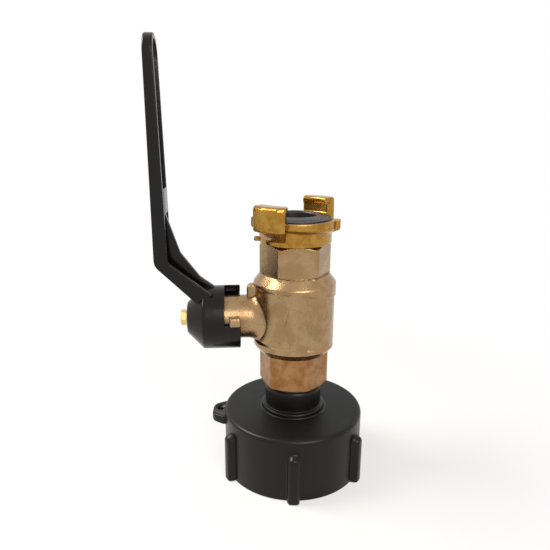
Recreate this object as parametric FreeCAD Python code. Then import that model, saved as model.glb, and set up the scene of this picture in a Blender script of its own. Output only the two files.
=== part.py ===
"""Tank valve for an intermediate bulk container.

A 3/4 inch lever ball valve between a black screw cap, which fits the tank's outlet, and a brass
claw coupling, which takes a hose.  The pipe runs along +Z from the cap's mouth at the origin.
The stem and its lever stand out along -X, and the open lever points up beside the pipe.
"""
import FreeCAD, Part
import math
import os

V = FreeCAD.Vector

# ---------------------------------------------------------------- driving dimensions, mm, degrees
# Tank cap: one moulding with the female tank thread below and a male 3/4 inch spigot on top.
cap_radius = 35.5
cap_height = 32.4
cap_edge_round = 1.9
cap_top_wall = 6.0
tank_thread_radius = 30.2          # S60x6 coarse thread, taken at its major diameter
cap_rib_count = 6
cap_rib_angle = 265.0              # of the first rib
cap_rib_width = 5.6
cap_rib_reach = 3.3
cap_rib_drop = 10.5                # from the cap's top down to the rib's rounded top
cap_rib_root = 1.0                 # how deep ribs are rooted in the wall
cap_rib_crown_trim = 0.6
collar_radius = 16.1               # raised ring round the neck's foot
collar_height = 2.6
collar_foot_round = 0.8
collar_edge_round = 1.0
neck_foot_round = 0.5
neck_radius = 14.35
neck_height = 13.4                 # above the cap's top
ear_angle = 175.0
ear_reach = 42.0                   # from the pipe's axis to the ear's tip
ear_radius = 5.2
ear_foot_radius = 8.6
ear_thickness = 4.5
ear_drop = 3.1
ear_hole_radius = 1.6
ear_hole_shift = 1.2               # of the hole from the ear's rounded end, outwards
ear_root = 2.0
ear_foot_run = 2.4
ear_foot_round = 1.5
gasket_thickness = 3.0
gasket_inner_radius = 19.0
gasket_outer_radius = 29.4

# 3/4 inch pipe threads, drawn as plain cylinders at the thread's major diameter.
pipe_thread_radius = 13.2
pipe_thread_length = 14.6
flow_radius = 9.6
spigot_seal_thickness = 1.2
spigot_seal_inset = 0.4

# Ball valve.
hex_across_flats = 31.0
hex_turned_radius = 17.35          # the hexagons' corners are turned down to this radius
lower_hex_height = 17.6
lower_hex_angle = 46.2
upper_hex_height = 15.7
upper_hex_angle = 0.0
lower_hex_bevel = 0.9
upper_hex_bevel = 1.3
body_height = 39.55                # from the body joint to the foot of the upper hexagon
body_radius = 20.3
body_foot_radius = 17.2
body_foot_rise = 3.6
body_foot_round = 2.2
body_shoulder_drop = 3.9
body_shoulder_round = 1.4
shoulder_step = 0.6                # the shoulder's top, above and inside the hexagon's corners
shoulder_step_round = 0.8
panel_depth = 0.6                  # recessed sides between the top and bottom bands
panel_bottom = 6.4                 # above the body joint
panel_top = 34.0
panel_bottom_fall = 3.2            # the panel on the side away from the boss slopes down
panel_top_fall = 4.7
land_mid_height = 18.5             # lozenge land on the front and back, above the body joint
land_mid_half = 6.5
land_top_half = 3.0
land_bottom_half = 3.9
land_overlap = 0.4
stem_height = 17.5                 # stem axis above the body joint
ball_radius = 15.0
seat_outer_radius = 13.8
seat_near = 9.0                    # seat faces, measured from the ball's centre
seat_far = 13.2
seat_gap = 0.08
cavity_gap = 0.7
insert_radius = 16.0               # the end connector's male thread
insert_height = 7.8
joint_seal_thickness = 1.5
joint_seal_width = 1.2

# Stem and its boss, measured from the pipe's axis towards the lever.
boss_radius = 10.7
boss_reach = 40.0
boss_edge_round = 0.6
boss_blend_radius = 13.5
boss_blend_start = 16.4
boss_blend_end = 20.2
boss_blend_round = 2.0
boss_foot_round = 1.5
fin_reach = 23.7                   # small cast fin on top of the boss
fin_rise = 16.8
fin_thickness = 5.0
fin_round = 2.6
stem_radius = 5.0
stem_shoulder_radius = 6.5
stem_shoulder_reach = 17.9
stem_shoulder_thickness = 2.0
stem_square = 6.0                  # across the flats that drive the lever
stem_edge_round = 0.3
tang_depth = 3.6
tang_width = 4.0
tang_length = 12.0
slot_gap = 0.1
thrust_thickness = 1.0
thrust_gap = 0.02
ring_reach = 22.0                  # O-ring groove
ring_width = 2.0
ring_depth = 1.0
packing_inset = 10.0               # from the boss's end down to the packing
packing_radius = 8.0
packing_thickness = 4.0
gland_head_flats = 15.0
gland_head_height = 3.0
running_gap = 0.05

# Lever.  Its hub follows the boss, and its arm follows the hub.
hub_radius = 15.6
hub_start = 27.0                   # skirt's open end
hub_rim_round = 0.5
hub_head_room = 2.6                # between the gland nut and the hub's bore end
hub_web = 7.3                      # from the bore's end to the hub's face
hub_shoulder_drop = 8.1            # from the face down to where the cone starts
hub_shoulder_round = 0.8
hub_face_radius = 7.5
hub_face_round = 1.6
skirt_inner_radius = 12.5
hub_bore_radius = 11.3
hub_bore_round = 1.0
skirt_depth = 11.0
skirt_taper = 1.5
window_depth = 7.6
stop_angle = 82.0                  # of the stop lug, from +Z towards -Y
stop_thickness = 4.2
stop_inset = 0.1                   # the lug, inside the skirt's open end
stop_length = 5.2
stop_reach = 16.5
stop_play = 0.15
lever_travel = 90.0
lever_width = 18.0
lever_stand = 14.0                 # outer face, beyond the hub's face
lever_top = 129.8                  # above the stem's axis
lever_bend = 28.3                  # outer corner of the bend, above the stem's axis
lever_bend_round = 1.2
lever_end_depth = 4.4
lever_bend_depth = 6.4
lever_inner_bend_rise = 1.6
lever_inner_bend_round = 2.0
lever_edge_round = 0.7
lever_wall = 2.4
lever_floor = 2.6
arm_foot = 10.8                    # where the arm's under side passes the hub's cone
arm_foot_drop = 3.8                # the same place, down from the hub's face
arm_toe_run = 4.5                  # the under side runs on into the hub
arm_rim_drop = 11.4
channel_bend_round = 1.5
pad_bottom = 51.3                  # raised pad across the channel, above the stem's axis
pad_top = 63.4
pad_proud = 0.4
gusset_thickness = 3.2
gusset_knee_stand = 2.2            # the gusset's upper corner, beyond the hub's face
gusset_knee_height = 32.8
gusset_foot_drop = 6.8             # and its lower corner, short of it
gusset_foot_height = 20.8
gusset_round = 3.0
gusset_toe_drop = 14.7
gusset_toe_inset = 0.6
nut_flats = 7.0
nut_height = 2.8
nut_bevel = 0.35
nut_thread_radius = 2.0
stem_end_recess = 0.3              # the square's end, inside the hub's face
thread_stub = 0.4
thread_stub_round = 0.4
washer_radius = 4.0
washer_thickness = 0.4

# Claw coupling.
ring_radius = 17.5
ring_height = 7.8
ring_foot_round = 0.8
flange_radius = 19.5
flange_thickness = 3.7
flange_undercut = 2.4
flange_edge_round = 0.5
ramp_start = 1.3                   # the cam's under side beside the claw, above the ring's top
ramp_fall = 2.0                    # and how far it comes down on its way to the nose
ramp_sections = 7
notch_start = 118.5                # along the flange from a claw's centre to the notch
nose_radius = 21.5
nose_span = 13.0
nose_round = 0.8
claw_angle = 232.5
claw_half_span = 20.0
claw_ridge = -4.5                  # facets on the claw's back, from its middle
claw_facet = 12.5
claw_bevel = 15.0
claw_root = 3.0                    # how deep claws and flanges are rooted in the ring
flange_root = 2.0
claw_inner_radius = 20.2
claw_outer_radius = 26.6
claw_corner_drop = 1.6
claw_corner_round = 0.6
claw_facet_round = 0.8
claw_height = 11.7                 # above the flange's under side
claw_edge_round = 1.2
lip_radius = 18.3
lip_thickness = 2.5
lip_round = 0.8
bracket_half_width = 6.0
bracket_drop = 5.4
bracket_foot = 0.8
bracket_inset = 2.0
nub_angle = 178.0
nub_reach = 20.1
nub_size = 2.3
nub_lift = 0.2
seal_groove_radius = 15.6
seal_groove_depth = 5.2
seal_mouth_radius = 14.4
seal_mouth_depth = 2.0
seal_lip_radius = 17.2
seal_lip_edge = 0.7
seal_opening_radius = 10.6
seal_rise = 1.9
seal_inner_gap = 0.3               # between the seal's throat and the flow bore
seal_throat_depth = 1.2
seal_edge_round = 0.3
seal_crown_round = 0.4
seal_opening_taper = 0.6
seal_opening_depth = 0.9
thread_gap = 0.05
thread_end_gap = 0.4
thread_end_round = 0.8
spare = 1.0                        # cutting shapes run past what they cut by this much

# ---------------------------------------------------------------- heights worked out from these
z_cap_top = cap_height
z_neck_top = z_cap_top + neck_height
z_hex = z_neck_top + spigot_seal_thickness
z_joint = z_hex + lower_hex_height
z_stem = z_joint + stem_height
z_shoulder = z_joint + body_height
z_outlet = z_shoulder + upper_hex_height
z_flange = z_outlet + ring_height
z_face = z_flange + flange_thickness
cavity_radius = ball_radius + cavity_gap
# Reaches along the stem, from the pipe's axis.
packing_reach = boss_reach - packing_inset
gland_reach = boss_reach + gland_head_height
hub_bore_end = gland_reach + hub_head_room
hub_end = hub_bore_end + hub_web
hub_cone_start = hub_end - hub_shoulder_drop
stem_reach = hub_end - stem_end_recess
lever_face = hub_end + lever_stand
arm_foot_reach = hub_end - arm_foot_drop
arm_rim_reach = hub_end - arm_rim_drop


# ---------------------------------------------------------------- helpers
def rounded(corners):
    """Closed wire in the XY plane through (x, y) or (x, y, radius) corners, with tangent arcs."""
    count = len(corners)
    trims = []
    for i, corner in enumerate(corners):
        here = V(corner[0], corner[1], 0)
        before = V(*corners[i - 1][:2], 0)
        after = V(*corners[(i + 1) % count][:2], 0)
        radius = corner[2] if len(corner) > 2 else 0.0
        if radius <= 0:
            trims.append((here, here, None))
            continue
        a = (before - here).normalize()
        b = (after - here).normalize()
        half = a.getAngle(b) / 2
        cut = radius / math.tan(half)
        middle = (a + b).normalize() * (radius / math.sin(half) - radius)
        trims.append((here + a * cut, here + b * cut, here + middle))
    edges = []
    for i in range(count):
        start, end, middle = trims[i]
        if middle is not None:
            edges.append(Part.Arc(start, middle, end).toShape())
        follow = trims[(i + 1) % count][0]
        if (follow - end).Length > 1e-6:
            edges.append(Part.LineSegment(end, follow).toShape())
    return Part.Wire(edges)


def turned(profile):
    """Solid of revolution about Z from (radius, height) corners."""
    face = Part.Face(rounded(profile))
    face.rotate(V(0, 0, 0), V(1, 0, 0), 90)
    return face.revolve(V(0, 0, 0), V(0, 0, 1), 360)


def tube(outer, inner, low, high):
    """Ring between two radii and two heights."""
    solid = Part.makeCylinder(outer, high - low, V(0, 0, low))
    return solid.cut(Part.makeCylinder(inner, high - low, V(0, 0, low)))


def hexagon(flats, low, high, angle):
    """Hexagonal prism about Z with its first corner at the given angle."""
    radius = flats / math.sqrt(3)
    turns = [math.radians(angle + 60 * i) for i in range(6)]
    points = [V(radius * math.cos(t), radius * math.sin(t), low) for t in turns]
    face = Part.Face(Part.makePolygon(points + [points[0]]))
    return face.extrude(V(0, 0, high - low))


def prism(corners, low, high):
    """Upright prism over a rounded outline in the XY plane."""
    face = Part.Face(rounded(corners))
    face.translate(V(0, 0, low))
    return face.extrude(V(0, 0, high - low))


def polar(radius, degrees):
    """Point in the XY plane at a radius and an angle."""
    return (radius * math.cos(math.radians(degrees)), radius * math.sin(math.radians(degrees)))


def sector(outer, inner, start, end, low, high):
    """Part of a ring between two angles."""
    solid = Part.makeCylinder(outer, high - low, V(0, 0, low), V(0, 0, 1), end - start)
    solid = solid.cut(Part.makeCylinder(inner, high - low, V(0, 0, low)))
    solid.rotate(V(0, 0, 0), V(0, 0, 1), start)
    return solid


def on_stem(solid):
    """Lay a shape built along +Z so that it runs along the stem, outwards along -X."""
    solid = solid.copy()
    solid.rotate(V(0, 0, 0), V(0, 1, 0), -90)
    solid.translate(V(0, 0, z_stem))
    return solid


def side_plate(corners, width):
    """Plate across Y over an outline given as (reach towards -X, height above the stem's axis)."""
    face = Part.Face(rounded([(-c[0], c[1], *c[2:]) for c in corners]))
    face.rotate(V(0, 0, 0), V(1, 0, 0), 90)
    face.translate(V(0, width / 2, z_stem))
    return face.extrude(V(0, -width, 0))


# ---------------------------------------------------------------- tank cap and its gasket
def make_cap():
    """Screw cap with rounded shoulder, six grip ribs, a tether ear and the spigot on top."""
    spigot_top = z_hex + pipe_thread_length
    ceiling = z_cap_top - cap_top_wall
    cap = turned([
        (tank_thread_radius, 0), (cap_radius, 0), (cap_radius, z_cap_top, cap_edge_round),
        (collar_radius, z_cap_top, collar_foot_round),
        (collar_radius, z_cap_top + collar_height, collar_edge_round),
        (neck_radius, z_cap_top + collar_height, neck_foot_round), (neck_radius, z_neck_top),
        (pipe_thread_radius, z_neck_top), (pipe_thread_radius, spigot_top),
        (flow_radius, spigot_top), (flow_radius, ceiling), (gasket_outer_radius, ceiling),
        (gasket_outer_radius, ceiling - gasket_thickness),
        (tank_thread_radius, ceiling - gasket_thickness)])
    rib_top = z_cap_top - cap_rib_drop
    half = cap_rib_width / 2
    reach = cap_radius + cap_rib_reach
    root = cap_radius - cap_rib_root
    rib = prism([(root, -half), (reach, -half, half * 0.7), (reach, half, half * 0.7), (root, half)],
                0, rib_top)
    crown = Part.makeCylinder(half, reach - root, V(root, 0, rib_top), V(1, 0, 0))
    crown = crown.common(Part.makeCylinder(reach - cap_rib_crown_trim, z_cap_top))
    rib = rib.fuse(crown)
    for i in range(cap_rib_count):
        copy = rib.copy()
        copy.rotate(V(0, 0, 0), V(0, 0, 1), cap_rib_angle + i * 360.0 / cap_rib_count)
        cap = cap.fuse(copy)
    ear_top = z_cap_top - ear_drop
    centre = ear_reach - ear_radius
    root = cap_radius - ear_root
    foot = root + ear_foot_run
    ear = prism([(root, -ear_foot_radius), (foot, -ear_foot_radius, ear_foot_round),
                 (centre + ear_radius, -ear_radius, ear_radius * 0.98),
                 (centre + ear_radius, ear_radius, ear_radius * 0.98),
                 (foot, ear_foot_radius, ear_foot_round), (root, ear_foot_radius)],
                ear_top - ear_thickness, ear_top)
    hole = Part.makeCylinder(ear_hole_radius, ear_thickness,
                             V(centre + ear_hole_shift, 0, ear_top - ear_thickness))
    ear = ear.cut(hole)
    ear.rotate(V(0, 0, 0), V(0, 0, 1), ear_angle)
    return cap.fuse(ear).removeSplitter()


def make_gasket():
    """Flat rubber ring under the cap's ceiling."""
    ceiling = z_cap_top - cap_top_wall
    return tube(gasket_outer_radius, gasket_inner_radius, ceiling - gasket_thickness, ceiling)


def make_spigot_seal():
    """Flat seal between the neck's shoulder and the end connector."""
    return tube(neck_radius - spigot_seal_inset, pipe_thread_radius + thread_gap, z_neck_top, z_hex)


# ---------------------------------------------------------------- valve body and its ends
def turned_hexagon(low, high, angle, low_round, high_round):
    """Hexagon with its corners turned and its ends bevelled by the given drops."""
    full = hex_turned_radius
    flat = hex_across_flats / 2
    blank = turned([(0, low), (flat if low_round else full, low), (full, low + low_round),
                    (full, high - high_round), (flat if high_round else full, high), (0, high)])
    return hexagon(hex_across_flats, low, high, angle).common(blank)


def make_end_connector():
    """Lower hexagon, threaded for the spigot below and screwed into the body above."""
    top = z_joint + insert_height
    solid = turned_hexagon(z_hex, z_joint, lower_hex_angle, lower_hex_bevel, 0.0)
    solid = solid.fuse(Part.makeCylinder(insert_radius, insert_height, V(0, 0, z_joint)))
    thread_top = z_hex + pipe_thread_length + thread_gap
    solid = solid.cut(Part.makeCylinder(pipe_thread_radius + thread_gap, thread_top - z_hex, V(0, 0, z_hex)))
    solid = solid.cut(Part.makeCylinder(flow_radius, top - z_hex, V(0, 0, z_hex)))
    pocket = z_stem - seat_far
    return solid.cut(Part.makeCylinder(seat_outer_radius, top - pocket, V(0, 0, pocket)))


def land(side):
    """Lozenge land that joins the bands on the front or back of the body."""
    low = z_joint + panel_bottom - land_overlap
    high = z_joint + panel_top + land_overlap
    middle = z_joint + land_mid_height
    wire = rounded([(-land_bottom_half, low), (land_bottom_half, low), (land_mid_half, middle),
                    (land_top_half, high), (-land_top_half, high), (-land_mid_half, middle)])
    face = Part.Face(wire)
    face.rotate(V(0, 0, 0), V(1, 0, 0), 90)
    return face.extrude(V(0, side * (body_radius + spare), 0))


def waist():
    """Recess between the body's bands.  Away from the boss its two edges slope down."""
    outer = body_radius + spare
    low = z_joint + panel_bottom
    high = z_joint + panel_top
    ring = tube(outer, body_radius - panel_depth, low - panel_bottom_fall, high)
    slope = outer / body_radius
    outline = side_plate([
        (outer, low - z_stem), (0, low - z_stem), (-outer, low - z_stem - panel_bottom_fall * slope),
        (-outer, high - z_stem - panel_top_fall * slope), (0, high - z_stem), (outer, high - z_stem)],
        2 * outer)
    ring = ring.common(outline)
    for side in (-1, 1):
        ring = ring.cut(land(side))
    return ring


def stop_block(start, end, reach, play):
    """Block at the stop lug's angle, with play added to each of the lug's flanks."""
    half = stop_thickness / 2 + play
    block = Part.makeBox(end - start, reach, 2 * half, V(-end, -reach, z_stem - half))
    block.rotate(V(0, 0, z_stem), V(1, 0, 0), stop_angle - 90.0)
    return block


def make_body():
    """Nickel-plated body: banded barrel, upper hexagon, stem boss with its stop lug and fin."""
    foot = z_joint
    barrel = turned([
        (0, foot), (body_foot_radius, foot), (body_radius, foot + body_foot_rise, body_foot_round),
        (body_radius, z_shoulder - body_shoulder_drop, body_shoulder_round),
        (hex_turned_radius - shoulder_step, z_shoulder + shoulder_step, shoulder_step_round),
        (0, z_shoulder + shoulder_step)])
    barrel = barrel.cut(waist())
    top_hex = turned_hexagon(z_shoulder, z_outlet, upper_hex_angle, 0.0, upper_hex_bevel)
    solid = barrel.fuse(top_hex)
    boss = on_stem(turned([
        (0, 0), (boss_blend_radius, 0), (boss_blend_radius, boss_blend_start, boss_blend_round),
        (boss_radius, boss_blend_end, boss_foot_round), (boss_radius, boss_reach, boss_edge_round),
        (0, boss_reach)]))
    solid = solid.fuse(boss)
    lug_start = hub_start + stop_inset
    solid = solid.fuse(stop_block(lug_start, lug_start + stop_length, stop_reach, 0.0))
    fin = side_plate([(body_foot_radius, 0), (fin_reach, 0), (fin_reach, fin_rise, fin_round),
                      (body_foot_radius, fin_rise)], fin_thickness)
    solid = solid.fuse(fin)
    # Inside: ball chamber, end connector's thread, upper seat, flow bore and outlet thread.
    insert_top = z_joint + insert_height + joint_seal_thickness
    cutters = [
        Part.makeCylinder(insert_radius + thread_gap, insert_top - z_joint, V(0, 0, z_joint)),
        Part.makeCylinder(cavity_radius, seat_near + z_stem - z_joint, V(0, 0, z_joint)),
        Part.makeCylinder(seat_outer_radius, seat_far, V(0, 0, z_stem)),
        Part.makeCylinder(flow_radius, z_outlet - z_stem, V(0, 0, z_stem)),
        Part.makeCylinder(pipe_thread_radius + thread_gap, pipe_thread_length,
                          V(0, 0, z_outlet - pipe_thread_length)),
        on_stem(Part.makeCylinder(stem_radius + running_gap, boss_reach)),
        on_stem(Part.makeCylinder(stem_shoulder_radius + 2 * running_gap,
                                  stem_shoulder_reach + thrust_thickness)),
        on_stem(Part.makeCylinder(packing_radius, packing_inset, V(0, 0, packing_reach)))]
    for cutter in cutters:
        solid = solid.cut(cutter)
    return solid.removeSplitter()


def make_joint_seal():
    """Seal ring between the end connector and the body's inner step."""
    low = z_joint + insert_height
    return tube(insert_radius, insert_radius - joint_seal_width, low, low + joint_seal_thickness)


def make_seat(side):
    """PTFE seat that cups the ball, above it for side 1 and below it for side -1."""
    near = z_stem + side * seat_near
    far = z_stem + side * seat_far
    ring = tube(seat_outer_radius, flow_radius, min(near, far), max(near, far))
    return ring.cut(Part.makeSphere(ball_radius + seat_gap, V(0, 0, z_stem)))


# ---------------------------------------------------------------- ball, stem and its seals
def make_ball():
    """Chromed ball with its flow bore and the slot for the stem's tang."""
    solid = Part.makeSphere(ball_radius, V(0, 0, z_stem))
    solid = solid.cut(Part.makeCylinder(flow_radius, 2 * ball_radius, V(0, 0, z_stem - ball_radius)))
    half = tang_width / 2 + slot_gap
    length = tang_length + 2 * slot_gap
    floor = ball_radius - tang_depth - slot_gap
    slot = Part.makeBox(ball_radius, 2 * half, length, V(-ball_radius - floor, -half, z_stem - length / 2))
    return solid.cut(slot)


def make_stem():
    """Blow-out-proof stem: tang, shoulder, journal with O-ring groove, flats and thread."""
    start = stem_shoulder_reach - stem_shoulder_thickness
    end = stem_reach + washer_thickness + nut_height + thread_stub
    solid = turned([
        (0, start), (stem_shoulder_radius, start, stem_edge_round),
        (stem_shoulder_radius, stem_shoulder_reach),
        (stem_radius, stem_shoulder_reach), (stem_radius, ring_reach),
        (stem_radius - ring_depth, ring_reach), (stem_radius - ring_depth, ring_reach + ring_width),
        (stem_radius, ring_reach + ring_width), (stem_radius, stem_reach),
        (nut_thread_radius, stem_reach), (nut_thread_radius, end, thread_stub_round), (0, end)])
    for side in (-1, 1):
        offset = stem_square / 2 if side > 0 else -stem_square / 2 - stem_radius
        solid = solid.cut(Part.makeBox(2 * stem_radius, stem_radius, stem_reach - gland_reach,
                                       V(-stem_radius, offset, gland_reach)))
    tang_start = ball_radius - tang_depth
    tang = Part.makeBox(tang_length, tang_width, start - tang_start,
                        V(-tang_length / 2, -tang_width / 2, tang_start))
    return on_stem(solid.fuse(tang).removeSplitter())


def make_thrust_washer():
    """PTFE washer behind the stem's shoulder."""
    return on_stem(tube(stem_shoulder_radius, stem_radius + running_gap, stem_shoulder_reach + thrust_gap,
                        stem_shoulder_reach + thrust_thickness))


def make_stem_ring():
    """O-ring in the stem's groove."""
    return on_stem(tube(stem_radius, stem_radius - ring_depth, ring_reach, ring_reach + ring_width))


def make_packing():
    """PTFE packing ring in the boss."""
    return on_stem(tube(packing_radius, stem_radius + running_gap, packing_reach,
                        packing_reach + packing_thickness))


def make_gland():
    """Gland nut that squeezes the packing."""
    shank = tube(packing_radius, stem_radius + running_gap, packing_reach + packing_thickness, boss_reach)
    head = hexagon(gland_head_flats, boss_reach, gland_reach, 0)
    head = head.cut(Part.makeCylinder(stem_radius + running_gap, gland_head_height, V(0, 0, boss_reach)))
    return on_stem(shank.fuse(head).removeSplitter())


# ---------------------------------------------------------------- lever, washer and nut
def stop_window():
    """Space that the stop lug needs in the skirt over the lever's travel."""
    start = hub_start - spare
    end = hub_start + window_depth
    reach = hub_radius + 4 * spare
    first = stop_block(start, end, reach, stop_play)
    last = first.copy()
    last.rotate(V(0, 0, z_stem), V(1, 0, 0), -lever_travel)
    fan = on_stem(sector(reach, boss_radius - spare, -stop_angle, lever_travel - stop_angle, start, end))
    return first.fuse(fan).fuse(last)


def along_arm(inset):
    """Corner of the lever's bend, and a point at its foot, moved inwards by an inset."""
    run = V(arm_foot_reach - lever_face, arm_foot - lever_bend, 0).normalize()
    inward = V(run.y, -run.x, 0)
    slide = inset * (1 + inward.x) / -run.x
    bend = V(lever_face, lever_bend, 0) + inward * inset + run * slide
    foot = V(arm_foot_reach, arm_foot, 0) + inward * inset
    return bend, foot, run


def front_plate(half, top, near, far):
    """Upright plate across X, half a width each side of Y = 0, with a round upper end."""
    face = Part.Face(rounded([(-half, 0), (half, 0), (half, top, half * 0.99), (-half, top, half * 0.99)]))
    face.rotate(V(0, 0, 0), V(1, 1, 1), 120)
    face.translate(V(-far, 0, z_stem))
    return face.extrude(V(far - near, 0, 0))


def lever_hub():
    """Hub turned about the stem, with its coned face."""
    return on_stem(turned([
        (0, hub_start), (hub_radius, hub_start, hub_rim_round),
        (hub_radius, hub_cone_start, hub_shoulder_round), (hub_face_radius, hub_end, hub_face_round),
        (0, hub_end)]))


def lever_rim(height):
    """Reach of the channel's rim at a height above the bend."""
    share = (height - lever_bend) / (lever_top - lever_bend)
    return lever_face - lever_bend_depth + share * (lever_bend_depth - lever_end_depth)


def lever_arm():
    """Cranked arm as a solid bar with a round upper end and rounded outer edges."""
    bend, foot, run = along_arm(0.0)
    toe = foot + run * arm_toe_run
    arm = side_plate([
        (lever_face, lever_top), (lever_face, lever_bend, lever_bend_round), (toe.x, toe.y),
        (arm_rim_reach, toe.y), (arm_rim_reach, hub_radius),
        (lever_rim(lever_bend), lever_bend + lever_inner_bend_rise, lever_inner_bend_round),
        (lever_rim(lever_top), lever_top)], lever_width)
    arm = arm.common(front_plate(lever_width / 2, lever_top, 0, lever_face))
    outline = [edge for edge in arm.Edges
               if all(abs(vertex.X + lever_face) < 1e-4 for vertex in edge.Vertexes)
               and edge.BoundBox.ZMax > z_stem + lever_bend + lever_bend_round + spare]
    return arm.makeFillet(lever_edge_round, outline)


def make_lever():
    """Cast lever: hub with its skirt and window, cranked channel arm, pad and gusset."""
    half = lever_width / 2 - lever_wall
    # The channel is open towards the pipe, with a pad across it above the gusset.
    bend, foot, run = along_arm(lever_floor)
    past_hub = hub_radius - foot.y
    toe = foot + run * past_hub
    channel = side_plate([
        (bend.x, lever_top), (bend.x, bend.y, channel_bend_round), (toe.x, toe.y), (0, toe.y),
        (0, lever_top)], 2 * half)
    channel = channel.common(front_plate(half, lever_top - lever_wall, 0, lever_face))
    pad_face = lever_rim(pad_bottom) - pad_proud
    pad = side_plate([(lever_face, pad_bottom), (lever_face, pad_top), (pad_face, pad_top, pad_proud),
                      (pad_face, pad_bottom, pad_proud)], 2 * half)
    root = bend.x + lever_floor / 2
    gusset = side_plate([
        (root, pad_bottom), (pad_face, pad_bottom),
        (hub_end + gusset_knee_stand, gusset_knee_height, gusset_round),
        (hub_end - gusset_foot_drop, gusset_foot_height, gusset_round),
        (hub_end - gusset_toe_drop, hub_radius - gusset_toe_inset),
        (arm_rim_reach, arm_foot), (root, bend.y)], gusset_thickness)
    lever = lever_arm().cut(channel).fuse(pad).fuse(gusset).fuse(lever_hub())
    # Inside the hub: skirt over the stop lug, bore over the boss, and the hole for the flats.
    skirt_end = hub_start + skirt_depth
    cavity = on_stem(turned([
        (0, hub_start - spare), (skirt_inner_radius, hub_start - spare), (skirt_inner_radius, skirt_end),
        (hub_bore_radius, skirt_end + skirt_taper), (hub_bore_radius, hub_bore_end, hub_bore_round),
        (0, hub_bore_end)]))
    drive = Part.makeCylinder(stem_radius + running_gap, hub_end, V(0, 0, 0))
    flats = Part.makeBox(4 * stem_radius, stem_square + 2 * running_gap, hub_end,
                         V(-2 * stem_radius, -stem_square / 2 - running_gap, 0))
    drive = on_stem(drive.common(flats))
    for cutter in (cavity, drive, stop_window()):
        lever = lever.cut(cutter)
    return lever.removeSplitter()


def make_washer():
    """Plain washer between the hub and the nut."""
    return on_stem(tube(washer_radius, nut_thread_radius + running_gap, hub_end, hub_end + washer_thickness))


def make_nut():
    """Hexagon nut on the stem's thread, with bevelled outer corners."""
    low = hub_end + washer_thickness
    high = low + nut_height
    nut = hexagon(nut_flats, low, high, 30)
    corner = nut_flats / math.sqrt(3)
    bevel = turned([(0, low), (corner, low), (corner, high - nut_bevel), (nut_flats / 2, high), (0, high)])
    nut = nut.common(bevel)
    return on_stem(nut.cut(Part.makeCylinder(nut_thread_radius + thread_gap, nut_height, V(0, 0, low))))


# ---------------------------------------------------------------- claw coupling and its seal
def rim_section(radius, low, round_radius, angle):
    """Wire of the flange's section at an angle, with its under side at the given height."""
    root = ring_radius - flange_root
    wire = rounded([(root, low - flange_undercut), (ring_radius, low - flange_undercut),
                    (radius, low), (radius, z_face, round_radius), (root, z_face)])
    wire.rotate(V(0, 0, 0), V(1, 0, 0), 90)
    wire.rotate(V(0, 0, 0), V(0, 0, 1), angle)
    return wire


def make_flange(angle):
    """Cam flange from a claw to the notch for the mating claw, with its stop nose."""
    start = angle + claw_half_span - flange_root
    end = angle + notch_start
    high = z_flange + ramp_start
    sections = []
    for i in range(ramp_sections):
        share = i / (ramp_sections - 1)
        sections.append(rim_section(flange_radius, high - share * ramp_fall, flange_edge_round,
                                    start + share * (end - start)))
    rim = Part.makeLoft(sections, True)
    nose = Part.Face(rim_section(nose_radius, high - ramp_fall, nose_round, end - nose_span))
    return rim.fuse(nose.revolve(V(0, 0, 0), V(0, 0, 1), nose_span))


def make_claw(angle):
    """Claw with a faceted back, bevelled ends and an inward lip that hooks the mating flange."""
    top = z_flange + claw_height
    inner = ring_radius - claw_root
    side = claw_half_span
    back = claw_outer_radius
    corner = back - claw_corner_drop
    outline = [polar(inner, -side), polar(corner, -side) + (claw_corner_round,),
               polar(back, -claw_bevel) + (claw_facet_round,), polar(back, claw_ridge) + (claw_facet_round,),
               polar(back, claw_facet) + (claw_facet_round,), polar(corner, side) + (claw_corner_round,),
               polar(inner, side)]
    claw = prism(outline, z_flange, top)
    outer = [e for e in claw.Edges if abs(e.CenterOfMass.z - top) < 1e-3
             and math.hypot(e.CenterOfMass.x, e.CenterOfMass.y) > claw_inner_radius]
    claw = claw.makeFillet(claw_edge_round, outer)
    lip_foot = top - lip_thickness
    hook = turned([(0, z_face), (claw_inner_radius, z_face), (claw_inner_radius, lip_foot, lip_round),
                   (lip_radius, lip_foot, lip_round), (lip_radius, top, lip_round),
                   (lip_radius + 3 * spare, top + spare), (0, top + spare)])
    claw = claw.cut(hook)
    foot = z_flange - bracket_drop
    reach = back - bracket_inset
    bracket = Part.Face(rounded([(inner, foot), (ring_radius + bracket_foot, foot), (reach, z_flange),
                                 (reach, z_flange + spare), (inner, z_flange + spare)]))
    bracket.rotate(V(0, 0, 0), V(1, 0, 0), 90)
    bracket.translate(V(0, bracket_half_width, 0))
    claw = claw.fuse(bracket.extrude(V(0, -2 * bracket_half_width, 0)))
    claw.rotate(V(0, 0, 0), V(0, 0, 1), angle)
    return claw


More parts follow.
